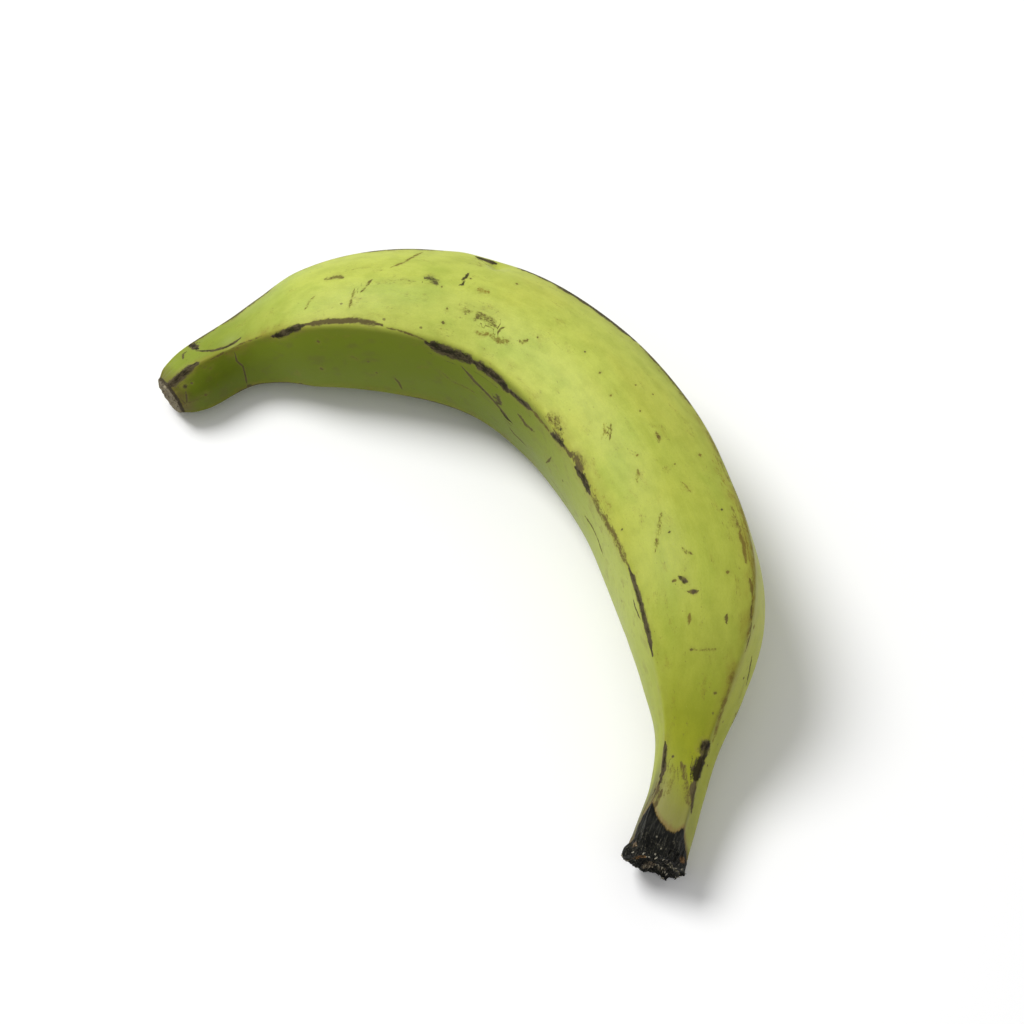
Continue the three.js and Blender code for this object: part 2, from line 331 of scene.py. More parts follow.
SCRATCHES = [
    # near the tip
    (0.36, 0.95, 0.1, 197, 350, 203, 351, 214, 350, 226, 347, 234, 343, 240, 338),
    (0.26, 0.85, 0.2, 234, 353, 237, 360, 243, 367, 245, 376, 248, 386),
    (0.4, 0.8, 0.2, 187, 351, 183, 354, 183, 359), (0.9, 0.6, 0.35, 173, 392, 176, 398, 179, 404),
    (0.9, 0.35, 0.3, 189, 403, 200, 398, 212, 392), (0.3, 0.7, 0.2, 187, 392, 188, 399, 186, 406),
    (0.9, 0.4, 0.6, 202, 367, 208, 368, 213, 366),
    # on the two upper facets
    (0.5, 0.62, 0.7, 391, 267, 405, 262, 423, 253), (0.5, 0.6, 0.5, 362, 292, 367, 286, 372, 280),
    (0.5, 0.55, 0.6, 349, 308, 352, 298, 355, 289), (0.45, 0.5, 0.7, 304, 309, 309, 302, 314, 296),
    (0.9, 0.6, 0.45, 324, 279, 333, 277, 343, 277), (0.5, 0.4, 0.6, 390, 280, 402, 279, 415, 281),
    (1.1, 0.68, 0.15, 424, 278, 431, 279, 437, 284), (0.35, 1, 0.05, 461, 285, 462, 284, 464, 282),
    (0.42, 1, 0, 463, 279, 466, 277, 469, 274), (1, 0.5, 1, 479, 289, 484, 291, 488, 292),
    (1.1, 0.5, 0.6, 459, 304, 464, 309, 470, 313),
    (1.3, 0.56, 0.4, 475, 321, 479, 317, 486, 320, 496, 326),
    (1, 0.5, 0.8, 476, 331, 481, 334, 487, 335), (1.2, 0.55, 0.75, 490, 336, 498, 340, 507, 342),
    (0.35, 0.9, 0.5, 503, 328, 501, 330, 498, 333), (0.6, 0.6, 0.65, 519, 340, 523, 342, 528, 340),
    (0.75, 0.5, 0.6, 661, 514, 659, 532, 656, 552), (0.6, 0.6, 0.6, 683, 549, 687, 553, 692, 554),
    (0.5, 0.5, 0.7, 690, 650, 703, 649, 717, 648), (0.55, 1, 0.1, 680, 578, 683, 580, 686, 582),
    (0.55, 0.9, 0.35, 689, 591, 693, 592, 698, 591),
    (0.5, 0.45, 0.75, 604, 425, 605, 431, 603, 438), (0.4, 0.6, 0.6, 611, 423, 611, 430, 609, 440),
    (0.7, 0.5, 0.7, 638, 470, 638, 476, 636, 483), (0.6, 0.5, 0.7, 656, 432, 658, 437, 660, 443),
    (0.7, 0.45, 0.8, 681, 482, 685, 487, 690, 493), (0.5, 0.6, 0.75, 690, 613, 689, 623),
    (0.45, 0.85, 0.4, 728, 614, 727, 624),
    # on the inner facet, beside the ridge
    (0.45, 0.5, 0.5, 436, 368, 452, 382, 475, 394),
    (0.5, 0.9, 0.2, 463, 367, 476, 382, 495, 403, 502, 411, 512, 424),
    (0.6, 1, 0, 501, 410, 506, 416, 511, 422), (1, 0.75, 0.15, 497, 396, 498, 400, 500, 405),
    (0.4, 0.85, 0.2, 509, 428, 514, 433, 526, 445),
    (0.6, 0.72, 0.25, 518, 413, 521, 417, 526, 425, 534, 432),
    (0.35, 0.85, 0.3, 551, 457, 549, 460, 547, 463), (0.4, 0.5, 0.5, 551, 479, 558, 489, 568, 505),
    (0.4, 0.75, 0.3, 585, 516, 592, 528, 598, 541, 603, 556),
    (0.4, 0.85, 0.2, 633, 600, 636, 609, 640, 619),
    (0.35, 0.85, 0.25, 395, 377, 399, 382, 402, 389), (0.6, 0.4, 0.5, 366, 377, 371, 375, 380, 376),
    (0.6, 0.35, 0.6, 346, 357, 353, 358, 360, 362),
]

# Small spots: (x, y, radius in mm, tone).
SPOTS = [
    (185, 386, 0.7, 0), (191, 383, 0.4, 0.2), (206, 395, 0.6, 0.4), (676, 579, 0.4, 0.7),
    (318, 341, 0.6, 0.4), (322, 369, 0.6, 0.4), (300, 385, 0.7, 0.2), (250, 386, 0.9, 0.1),
    (377, 372, 0.5, 0.4), (443, 322, 0.55, 0.35), (448, 308, 0.4, 0.6), (442, 287, 0.4, 0.6),
    (471, 278, 0.35, 0.4), (585, 351, 0.35, 0.2), (600, 372, 0.5, 0.6), (622, 529, 0.4, 0),
    (669, 532, 0.4, 0), (723, 510, 0.4, 0), (674, 581, 0.4, 0.4), (638, 455, 0.4, 0.8),
    (729, 573, 0.6, 0.7), (691, 650, 0.5, 0.5), (716, 692, 0.5, 0.5), (673, 757, 0.4, 0.1),
    (518, 284, 0.5, 0.7), (658, 437, 0.6, 0.6), (640, 412, 0.4, 0.7), (700, 455, 0.6, 0.8),
    (610, 395, 0.4, 0.8), (560, 429, 0.5, 0), (537, 338, 0.35, 0.6), (598, 299, 0.4, 0.7),
    (653, 395, 0.4, 0.7), (563, 481, 0.4, 0.3), (636, 384, 0.4, 0.7), (675, 464, 0.4, 0.7),
    (709, 745, 1.4, -0.1), (704, 746, 1.3, -0.1), (684, 581, 0.8, 0), (694, 591, 0.75, 0.15),
]

# Patches of torn fibres on the ends: (x, y, radius in mm, from grey, 0, to golden, 1).
TORN = [
    (641, 857, 1.8, 1), (649, 853, 0.9, 0.5), (652, 862, 1.1, 0.4), (634, 844, 0.9, 0.6),
    (668, 857, 2.2, 0.1), (675, 866, 2.4, 0.1), (661, 868, 1.4, 0.2), (627, 858, 1.2, 0.2),
    (683, 861, 1, 0.9), (657, 837, 0.35, 0), (661, 849, 0.3, 0), (646, 869, 1.2, 0.3),
    (166, 384, 1.3, 0.5), (166, 391, 1.2, 0.6),
]

# Scuffs that follow ridges, each as (from share, to share, half width, cover, tone). The outer
# ridge is the fruit's edge in the view, and the view doesn't reach the feet.
EDGE = OUTER + 0.07
RIDGE_SCUFFS = [
    (EDGE, [(0.045, 0.075, 0.8, 0.85, 0.2), (0.08, 0.14, 1.3, 0.8, 0.2),
            (0.145, 0.215, 0.7, 0.5, 0.4), (0.22, 0.29, 1.1, 0.8, 0.15),
            (0.355, 0.385, 1.1, 0.85, 0.15), (0.38, 0.475, 1.6, 0.95, 0.1),
            (0.48, 0.56, 1.2, 0.7, 0.35), (0.57, 0.66, 1, 0.4, 0.7)]),
    (OUTER, [(0.665, 0.79, 1.1, 0.5, 0.95)]),
    (INNER_FOOT, [(0.05, 0.16, 0.6, 0.8, 0.2), (0.27, 0.38, 0.9, 0.95, 0.05),
                  (0.46, 0.61, 0.5, 0.6, 0.4), (0.7, 0.86, 0.8, 0.9, 0.1)]),
    (OUTER_FOOT, [(0.06, 0.2, 0.7, 0.85, 0.1), (0.24, 0.3, 1.3, 1, 0), (0.36, 0.52, 0.8, 0.7, 0.35),
                  (0.6, 0.66, 1.2, 1, 0.05), (0.72, 0.9, 0.6, 0.8, 0.2)]),
]

# Scratches and spots scattered over the sides that the view doesn't reach, drawn in this order:
# share of the axis and turn round it, a scratch's part of the longest and lean, half width or
# radius in mm, a scratch's cover, and tone.
SCATTER_SEED = 4
SCATTERED_SPOTS = 60
SPOT_RANGES = [(0.04, 0.93), (3.05, 4.9), (0.3, 0.9), (0, 0.9)]
SCATTERED_SCRATCHES = 46
LONGEST_SCRATCH = 12
SCRATCH_RANGES = [
    (0.06, 0.9), (3.1, 4.85), (0.3, 1), (-0.07, 0.07), (0.3, 0.7), (0.4, 0.95), (0, 0.6),
]


class Marks:
    """Finds the nearest mark of a list for every point of the skin, and how it lies to it."""

    REACH = 2.2         # mm beyond a mark's edge at which it stops being known
    FADING = 0.55       # share of that reach from which it fades
    FAR = 9             # what stands for far from any mark, in half widths
    END = 0.7           # mm past a stroke's end at which it stops
    ROUNDED = 0.3       # half widths that it first goes on past its end
    TAPER = 2.5         # how quickly it widens from its ends
    POINT = 0.45        # share of its width at the ends of a long one
    LONG = 6            # half widths from which it is a long one
    BLUNTEST = 0.3      # least that a short one counts as
    SAME_SIDE = 0.3     # least that the skin's normal agrees with the stroke's two
    RIDGE_CORNERS = 12  # points of a scuff along a ridge

    def __init__(self, skin):
        self.skin = skin
        self.columns = skin.angle.shape[1]
        self.points = skin.points.reshape(-1, 3)
        self.normals = skin.normals().reshape(-1, 3)
        _, _, back = view_axes()
        self.front = np.flatnonzero(self.normals @ back > FACING_VIEW)
        self.pixels = seen_at(self.points[self.front])

    def on_skin(self, x, y):
        """The point of the skin that is seen at a pixel."""
        return self.front[np.argmin(np.linalg.norm(self.pixels - (x, y), axis=1))]

    def on_fruit(self, share, turn):
        """The point at a share of the axis and a turn round it, 0 to 5 from ridge to ridge."""
        row = FACE_RINGS - 1 + int(round(np.clip(share, 0, 1) * (BODY_RINGS - 1)))
        return row * self.columns + int(round(turn * FACET_COLUMNS)) % self.columns

    def nothing(self):
        """How near the nearest mark is, and a layer's columns, before there is any."""
        result = np.zeros((len(self.points), 3))
        result[:, 0] = self.FAR
        return np.full(len(self.points), np.inf), result

    def fade(self, past_edge):
        return 1 - smoothstep(self.REACH * self.FADING, self.REACH, past_edge)

    def layer(self, strokes):
        """Columns: signed place across a mark in half widths, cover, tone."""
        best, result = self.nothing()
        for corners, half_width, cover, tone in strokes:
            place = self.points[corners]
            normal = self.normals[corners]
            gaps = np.linalg.norm(np.diff(place, axis=0), axis=1)
            total = max(gaps.sum(), SHORTEST)
            slimness = np.clip(total / half_width / self.LONG, self.BLUNTEST, 1)
            start = 0.0
            for i, gap in enumerate(gaps):
                direction = (place[i + 1] - place[i]) / max(gap, SHORTEST)
                facing = normal[i] + normal[i + 1]
                offset = self.points - place[i]
                step = np.clip(offset @ direction, 0, gap)
                rest = offset - step[:, None] * direction
                distance = np.linalg.norm(rest, axis=1)
                share = np.clip((start + step) / total, 0, 1)
                taper = np.sin(np.pi * share) * self.TAPER
                width = half_width * np.clip(taper, self.POINT / slimness, 1)
                near = (distance - half_width < self.REACH) & (distance < best)
                near &= self.normals @ facing > self.SAME_SIDE
                across = np.sign(rest @ unit(np.cross(facing, direction))) * distance / width
                result[near, 0] = np.clip(across, -self.FAR, self.FAR)[near]
                along = start + offset @ direction
                past_end = np.maximum(-along, along - total) - self.ROUNDED * half_width
                fade = self.fade(distance - half_width) * (1 - smoothstep(0, self.END, past_end))
                result[near, 1] = (cover * fade)[near]
                result[near, 2] = tone
                best[near] = distance[near]
                start += gap
        return result

    def seen(self, strokes):
        return [([self.on_skin(*pixel) for pixel in zip(pixels[::2], pixels[1::2])],
                 half_width, cover, tone) for half_width, cover, tone, *pixels in strokes]

    def seen_spots(self, spots):
        return [(self.on_skin(x, y), *rest) for x, y, *rest in spots]

    def along_ridges(self):
        strokes = []
        for ridge, rows in RIDGE_SCUFFS:
            for start, end, *rest in rows:
                shares = np.linspace(start, end, self.RIDGE_CORNERS)
                strokes.append(([self.on_fruit(share, ridge) for share in shares], *rest))
        return strokes

    def scattered_spots(self, draw):
        drawn = [[draw.uniform(*span) for span in SPOT_RANGES] for _ in range(SCATTERED_SPOTS)]
        return [(self.on_fruit(share, turn), *rest) for share, turn, *rest in drawn]

    def scattered(self, draw):
        """Random strokes on the lower and outer facets, most of them along the fruit."""
        strokes = []
        for _ in range(SCATTERED_SCRATCHES):
            share, turn, part, lean, *rest = (draw.uniform(*span) for span in SCRATCH_RANGES)
            reach = part * LONGEST_SCRATCH / self.skin.axis.length / 2
            corners = [self.on_fruit(share + k * reach, turn + k * lean) for k in (-1, 0, 1)]
            strokes.append((corners, *rest))
        return strokes

    def spots(self, spots):
        """Columns: distance in radii, cover, tone."""
        best, result = self.nothing()
        for corner, radius, tone in spots:
            distance = np.linalg.norm(self.points - self.points[corner], axis=1)
            near = (distance < radius + self.REACH) & (distance < best)
            result[near, 0] = (distance / radius)[near]
            result[near, 1] = self.fade(distance - radius)[near]
            result[near, 2] = tone
            best[near] = distance[near]
        return result

    def all_layers(self):
        draw = np.random.default_rng(SCATTER_SEED)
        spots = self.seen_spots(SPOTS) + self.scattered_spots(draw)
        return {
            "scuffs": self.layer(self.seen(SCUFFS) + self.along_ridges()),
            "scratches": self.layer(self.seen(SCRATCHES) + self.scattered(draw)),
            "spots": self.spots(spots),
            "torn": self.spots(self.seen_spots(TORN)),
        }


# How much the ridges are stained golden brown: (ridge, rows of share of the axis and strength).
STAINED = [
    (OUTER, [(0, 0.5), (0.1, 0.3), (0.3, 0.15), (0.5, 0.35), (0.6, 0.8), (0.8, 0.9),
             (0.88, 0.5), (1, 0)]),
    (INNER, [(0, 0.8), (0.12, 0.9), (0.2, 0.3), (0.45, 0.3), (0.57, 0.7), (0.66, 0.35),
             (0.8, 0.1), (1, 0.3)]),
    (INNER_FOOT, [(0, 0.4), (0.5, 0.6), (1, 0.2)]),
    (OUTER_FOOT, [(0, 0.3), (0.4, 0.6), (1, 0.4)]),
]
STAINED_DEGREES = 8


# ---- relief of the skin ----

# Dents, and bumps where the depth is negative: (x, y, radius in mm, depth in mm).
DENTS = [
    (627, 849, 1.5, -0.9), (622, 857, 1.5, 0.6), (631, 843, 1, 0.7), (632, 838, 1.6, 0.3),
    (685, 862, 1.6, -0.6), (672, 879, 3, 0.8), (686, 873, 1.8, 0.6), (496, 265, 2.2, 1.3),
    (464, 254, 5, -0.4), (507, 267, 3, 0.2), (228, 350, 3.5, 0.35), (684, 584, 3, 0.15),
    (404, 262, 5, 0.3), (700, 470, 9, 0.35), (560, 330, 12, 0.3), (300, 300, 9, 0.3),
]

# How far before the end of the stalk it has dried black, as (angle round it, mm).
DRY_EDGE = [
    (0, 2.6), (19, 3.3), (33, 4.4), (50, 6.6), (61, 8.6), (66, 7.4), (71, 6.5), (79, 6.5),
    (91, 7.3), (102, 8.6), (114, 10.7), (124, 13.4), (132, 12.4), (140, 10.4), (147, 8.2),
    (151, 3.2), (156, 2.4), (175, 2.4), (200, 4), (250, 8), (300, 5.5), (340, 3), (360, 2.6),
]
CUT_RADIUS = 10

# Relief, as (height in mm, how close its noise is along and across the fruit, seed).
SWELLS = [(0.3, 0.03, 0.045, 3.1), (0.1, 0.03, 0.16, 11.7)]
STALK_FURROWS = (0.3, 0.08, 0.8, 5.3)
STALK_GRAIN = (0.12, 0.5, 1.3, 8.9)
TIP_FURROWS = (0.25, 0.12, 0.5, 2.2)
RIM_TEARS = [(1, 0.35, 0.35, 14.2), (0.6, 0.9, 0.9, 6.6)]
CUT_TEARS = [(0.9, 0.8, 0.8, 9.4), (0.5, 1.9, 1.9, 1.4)]
SCAR_PITS = [(0.4, 0.7, 0.7, 4.1), (0.2, 1.8, 1.8, 4.1)]
FURROW_SHARPNESS = 2.4
# How high furrows are on average, so that they don't move the surface.
STALK_LEVEL = 0.75
TIP_LEVEL = 0.6
# Where each begins and is full: mm past the edge of the dried stalk or the scar, or shares of
# the axis, or of the radius on a face.
STALK_DRIES = (-1.5, 2)
TIP_DRIES = (-6, 0)
RIM_TEARS_FROM = (0.976, 0.996)
CUT_TEARS_FROM = (1, 0.85)
SCAR_PITS_FROM = (1, 0.7)
CENTRE_CALM = (0, 0.6)
# How far the rim's tears move it outwards and along, in mm.
RIM_TEAR_RADIUS = 0.5
RIM_TEAR_LIFT = 0.8


def noise_at(places, along, across, seed):
    """Noise from -1 to 1 at grown places; along and across say how close it is."""
    scaled = places.reshape(-1, 3) * np.array((along, across, across)) + seed
    values = np.array([noise.noise(Vector(p)) for p in scaled])
    return values.reshape(places.shape[:-1])


def layered(places, rows):
    """The sum of some layers of noise."""
    return sum(height * noise_at(places, *pattern) for height, *pattern in rows)


def furrowed(values):
    """Turns noise into rounded ribs with sharp furrows between them, 0 to 1."""
    return 1 - np.clip(1 - np.abs(values) * FURROW_SHARPNESS, 0, 1) ** 2


def dry_distance(skin):
    """How many mm past the edge of the dried stalk each point is."""
    edge = smooth(DRY_EDGE, np.mod(skin.angle, 360))
    face = (1 - skin.scale) * (skin.share > 0.5) * CUT_RADIUS
    return (skin.share[:, None] - 1) * skin.axis.length + edge + face[:, None]


def tip_distance(skin):
    """How many mm past the edge of the blossom scar each point is."""
    face = (1 - skin.scale) * (skin.share < 0.5) * GIRTH[0][1]
    return np.broadcast_to((face - skin.share * skin.axis.length)[:, None], skin.angle.shape)


def weather(skin):
    """Gives the swept form what growing, drying and tearing did to it."""
    grown = skin.grown()
    share = skin.share[:, None]
    scale = skin.scale[:, None]
    dry = smoothstep(*STALK_DRIES, dry_distance(skin))
    tip = smoothstep(*TIP_DRIES, tip_distance(skin)) * (share < 0.5)
    ragged = smoothstep(*RIM_TEARS_FROM, share)
    tears = layered(grown, RIM_TEARS)
    relief = layered(grown, SWELLS)
    height, *pattern = STALK_FURROWS
    relief += height * dry * (furrowed(noise_at(grown, *pattern)) - STALK_LEVEL)
    height, *pattern = STALK_GRAIN
    relief += height * dry * noise_at(grown, *pattern)
    height, *pattern = TIP_FURROWS
    relief += height * tip * (furrowed(noise_at(grown, *pattern)) - TIP_LEVEL)
    relief += RIM_TEAR_RADIUS * ragged * tears
    skin.radius = skin.radius + relief * smoothstep(*CENTRE_CALM, scale)
    skin.lift = skin.lift + ragged * RIM_TEAR_LIFT * tears * np.minimum(1, scale * 2)
    torn = (share > ON_CUT) * smoothstep(*CUT_TEARS_FROM, scale)
    skin.lift = skin.lift + torn * layered(grown, CUT_TEARS)
    pitted = (share < ON_SCAR) * smoothstep(*SCAR_PITS_FROM, scale)
    skin.lift = skin.lift - pitted * layered(grown, SCAR_PITS)
    skin.points = skin.place(skin.radius)
    marks = Marks(skin)
    normals = skin.normals()
    for point, radius, depth in marks.seen_spots(DENTS):
        away = np.linalg.norm(skin.points - marks.points[point], axis=2)
        skin.points = skin.points - (depth * np.exp(-(away / radius) ** 2))[:, :, None] * normals
    skin.points[:, :, 2] = np.maximum(skin.points[:, :, 2], 0)


# Degrees before and after a ridge over which the colour changes. They are more to both sides of
# the inner one on the neck, which starts over some shares of the axis.
INNER_CHANGE = (-3, 5)
OUTER_FOOT_CHANGE = (-4, 10)
OUTER_CHANGE = (-9, 1)
NECK_CHANGE = 15
NECK_STARTS = (0.72, 0.84)


def zones(skin):
    """Attributes of places: how far below, outside and stained; dry, tip and share."""
    angle = np.mod(skin.angle, 360)
    outer, _, inner, _, outer_foot = (column[:, None] for column in skin.angles.T)
    more = NECK_CHANGE * smoothstep(*NECK_STARTS, skin.share)[:, None]
    past_inner = smoothstep(inner + INNER_CHANGE[0] - more, inner + INNER_CHANGE[1] + more, angle)
    past_foot = smoothstep(*(outer_foot + degrees for degrees in OUTER_FOOT_CHANGE), angle)
    past_outer = smoothstep(*(outer + degrees for degrees in OUTER_CHANGE), angle)
    below = past_inner * (1 - past_foot)
    outside = past_foot + 1 - past_outer
    stained = sum(smooth(rows, skin.share)[:, None] * skin.beside(ridge, STAINED_DEGREES)
                  for ridge, rows in STAINED)
    where = np.stack([below, np.clip(outside, 0, 1), stained], axis=2)
    share = np.broadcast_to(skin.share[:, None], angle.shape)
    state = np.stack([dry_distance(skin), tip_distance(skin), share], axis=2)
    return where, state


def in_scene(name, data):
    """An object of the scene that shows some data."""
    obj = bpy.data.objects.new(name, data)
    bpy.context.scene.collection.objects.link(obj)
    return obj


def mesh_object(name, points, faces):
    """An object of the scene with a mesh, from points in mm."""
    mesh = bpy.data.meshes.new(name)
    mesh.from_pydata((np.array(points) * MM).tolist(), [], faces)
    mesh.update()
    return in_scene(name, mesh)


def skin_object(skin, name):
    """The skin as one closed mesh that carries its places and marks as attributes."""
    rows, columns = skin.angle.shape
    ends = [skin.centre[0] - skin.along[0] * TIP_SCAR[-1][0],
            skin.centre[-1] + skin.along[-1] * STALK_CUT[-1][0]]
    at = np.arange(rows * columns).reshape(rows, columns)
    beside = np.roll(at, -1, axis=1)
    quads = np.stack([at[:-1], beside[:-1], beside[1:], at[1:]], axis=2).reshape(-1, 4)
    tip, stalk = rows * columns, rows * columns + 1
    faces = quads.tolist()
    faces += [(tip, b, a) for a, b in zip(at[0], beside[0])]
    faces += [(stalk, a, b) for a, b in zip(at[-1], beside[-1])]
    obj = mesh_object(name, np.concatenate([skin.points.reshape(-1, 3), ends]), faces)
    obj.data.shade_smooth()
    where, state = zones(skin)
    grids = {"grown": skin.grown(), "where": where, "state": state, **Marks(skin).all_layers()}
    for key, grid in grids.items():
        values = grid.reshape(-1, 3)
        poles = [values[:columns].mean(axis=0), values[-columns:].mean(axis=0)]
        values = np.concatenate([values, poles]).astype(np.float32)
        layer = obj.data.attributes.new(key, "FLOAT_VECTOR", "POINT")
        layer.data.foreach_set("vector", values.ravel())
    return obj


# Torn strands, as bent tubes that start under the skin of the cut; sizes are in mm.
FIBRE_SEED = 7
FIBRES = 150
SIDES = 5
STEPS = 5
FIBRE_LENGTH = (0.6, 1.3)
FIBRE_RADIUS = (0.12, 0.26)
LEAST_HEIGHT = 0.05
ROOT = 0.3
TAPER = 0.6                # share of its radius that a strand loses
FACE_ROWS = (0.3, 1.01)    # where they start on the cut, as shares of its radius
# How much a strand points along the stalk, towards its middle and anywhere, and how it bends.
ALONG, INWARD, WANDER, CURL = 0.45, 0.35, 0.55, 0.45
ACROSS = (0.3, 0.2, 0.9)
# Tones from black, -1, through grey, 0, to golden, 1. Within some radii of a torn patch they are
# its tone, and elsewhere they are drawn from these.
PATCH_REACH = 1.3
TONES = [-1, -1, -1, 0.2]


def fibre(start, direction, curl, length, radius):
    """Points of one bent, tapering strand, as rings from its root to its end."""
    rings = []
    place = np.array(start, float)
    turn = np.arange(SIDES) * 2 * np.pi / SIDES
    for step in range(STEPS + 1):
        side = unit(np.cross(direction, ACROSS))
        other = np.cross(direction, side)
        spokes = np.cos(turn)[:, None] * side + np.sin(turn)[:, None] * other
        rings.append(place + radius * (1 - TAPER * (step / STEPS) ** 2) * spokes)
        place = place + direction * length / STEPS
        direction = unit(direction + curl)
    return np.array(rings)


def tube_faces(first):
    """Faces of a strand's sides and two ends, from the number of its first point."""
    faces = []
    for ring in range(first, first + STEPS * SIDES, SIDES):
        for i in range(SIDES):
            a, b = ring + i, ring + (i + 1) % SIDES
            faces.append((a, b, b + SIDES, a + SIDES))
    last = first + STEPS * SIDES
    faces.append(tuple(reversed(range(first, first + SIDES))))
    faces.append(tuple(range(last, last + SIDES)))
    return faces


def fibres_object(skin, name):
    """Torn strands that stick to the cut end of the stalk, a few golden, most of them dark."""
    draw = np.random.default_rng(FIBRE_SEED)
    marks = Marks(skin)
    patches = marks.seen_spots(TORN)
    least, most = FACE_ROWS
    face_rows = np.flatnonzero((skin.share > ON_CUT) & (skin.scale < most) & (skin.scale > least))
    points, faces, tones = [], [], []
    for _ in range(FIBRES):
        row = draw.choice(face_rows)
        column = draw.integers(skin.angle.shape[1])
        start = skin.points[row, column]
        outward = unit(start - skin.centre[row])
        wander = draw.normal(0, WANDER, 3)
        direction = unit(ALONG * skin.along[row] - INWARD * outward + wander)
        near = [tone for point, radius, tone in patches
                if np.linalg.norm(marks.points[point] - start) < radius * PATCH_REACH]
        tone = near[0] if near else draw.choice(TONES)
        rings = fibre(start - direction * ROOT, direction, draw.normal(0, CURL, 3),
                      draw.uniform(*FIBRE_LENGTH), draw.uniform(*FIBRE_RADIUS))
        faces += tube_faces(len(points))
        points += rings.reshape(-1, 3).tolist()
        tones += [tone] * len(rings) * SIDES
    points = np.array(points)
    points[:, 2] = np.maximum(points[:, 2], LEAST_HEIGHT)
    obj = mesh_object(name, points, faces)
    obj.data.shade_smooth()
    layer = obj.data.attributes.new("tone", "FLOAT", "POINT")
    layer.data.foreach_set("value", np.array(tones, np.float32))
    return obj


# ---- materials ----

# The light is this much stronger than white needs, so that the pale floor is white in it.
BRIGHTNESS = 1.25


def colour(red, green, blue):
    """The linear colour that a shader takes to look like a display colour in that light."""
    def linear(v):
        v /= 255
        return (v / 12.92 if v <= 0.04045 else ((v + 0.055) / 1.055) ** 2.4) / BRIGHTNESS
    return (linear(red), linear(green), linear(blue), 1)


class Steps:
    """Adds shader nodes one after another, so that a material reads as a list of steps."""

    def __init__(self, name):
        self.material = bpy.data.materials.new(name)
        self.material.use_nodes = True
        self.tree = self.material.node_tree
        self.shader = self.tree.nodes["Principled BSDF"]

    def node(self, kind, inputs, **settings):
        node = self.tree.nodes.new("ShaderNode" + kind)
        for key, value in settings.items():
            setattr(node, key, value)
        for key, value in inputs.items():
            self.put(node.inputs[key], value)
        return node

    def put(self, socket, value):
        if isinstance(value, bpy.types.NodeSocket):
            self.tree.links.new(value, socket)
        else:
            socket.default_value = value

    def attribute(self, name):
        """An attribute as a whole, and its three parts."""
        vector = self.node("Attribute", {}, attribute_name=name).outputs["Vector"]
        parts = self.node("SeparateXYZ", {0: vector}).outputs
        return vector, parts[0], parts[1], parts[2]

    def stretched(self, vector, along, across):
        factors = (along, across, across)
        return self.node("VectorMath", {0: vector, 1: factors}, operation="MULTIPLY").outputs[0]

    def noise(self, vector, along, across, detail=3, roughness=0.55):
        """Noise from 0 to 1 at grown places; along and across say how close it is."""
        places = self.stretched(vector, along, across)
        return self.node("TexNoise", {"Vector": places, "Scale": 1, "Detail": detail,
                                      "Roughness": roughness}).outputs[0]

    def maths(self, operation, a, b=0):
        return self.node("Math", {0: a, 1: b}, operation=operation).outputs[0]

    def plus(self, a, b):
        return self.maths("ADD", a, b)

    def minus(self, a, b):
        return self.maths("SUBTRACT", a, b)

    def times(self, a, b):
        return self.maths("MULTIPLY", a, b)

    def larger(self, a, b):
        return self.maths("MAXIMUM", a, b)

    def size(self, a):
        return self.maths("ABSOLUTE", a)

    def uneven(self, edge, pattern, middle, much):
        """A value that a pattern makes larger or smaller."""
        return self.plus(edge, self.times(self.minus(pattern, middle), much))

    def ramp(self, value, low, high, start=0, end=1):
        """A smooth step from start to end as value goes from low to high."""
        return self.node("MapRange", {0: value, 1: low, 2: high, 3: start, 4: end},
                         interpolation_type="SMOOTHSTEP").outputs[0]

    def mix(self, factor, a, b):
        return self.node("Mix", {0: factor, 6: a, 7: b}, data_type="RGBA").outputs[2]

    def blend(self, factor, a, b):
        return self.node("Mix", {0: factor, 2: a, 3: b}, data_type="FLOAT").outputs[0]

    def tint(self, base, *rows):
        """Mixes colours in, each as (colour, what its ramp takes and the part that it is on)."""
        for colour, value, low, high, *more in rows:
            amount = self.ramp(value, low, high, *more[:2])
            for part in more[2:]:
                amount = self.times(part, amount)
            base = self.mix(amount, base, colour)
        return base

    def finish(self, **inputs):
        for key, value in inputs.items():
            self.put(self.shader.inputs[key.replace("_", " ")], value)
        return self.material


# Living peel. The lower facets are pale towards the stalk: painted light, as reflected up from the
# pale floor.
UPPER = colour(207, 217, 98)
UPPER_YELLOW = colour(216, 216, 94)
UPPER_GREEN = colour(180, 202, 84)
LOWER = colour(116, 132, 6)
# painted light: the lower facets' colour where the pale floor would light them
LOWER_PALE_WITH_FLOOR_LIGHT = colour(190, 201, 94)
LOWER_TIP = colour(98, 112, 0)
OUTSIDE = colour(198, 203, 80)
# The neck's deeper olive, darkened with painted shade; it also paints shade on the upper facets
# towards the neck.
NECK_OLIVE_AND_SHADE = colour(154, 159, 20)
TIP = colour(138, 156, 44)
# Marks and dead parts.
BLACK = colour(24, 11, 7)
GREY = colour(88, 77, 56)
BROWN = colour(106, 92, 46)
YELLOW_BROWN = colour(148, 128, 44)
HALO = colour(152, 146, 62)
STAIN = colour(152, 136, 48)
DUST = colour(222, 224, 160)
TAN = colour(138, 130, 88)
DULL_BROWN = colour(96, 92, 64)
STALK_BLACK = colour(11, 12, 7)
STALK_GREY = colour(92, 91, 80)
STALK_RIM = colour(132, 106, 60)
CRUMBS = colour(182, 176, 156)
FIBRE_GOLD = colour(164, 120, 66)
TIP_BROWN = colour(140, 130, 106)
TIP_TAN = colour(196, 180, 142)
TIP_DARK = colour(58, 48, 32)
FLOOR = (0.95, 0.95, 0.95, 1)

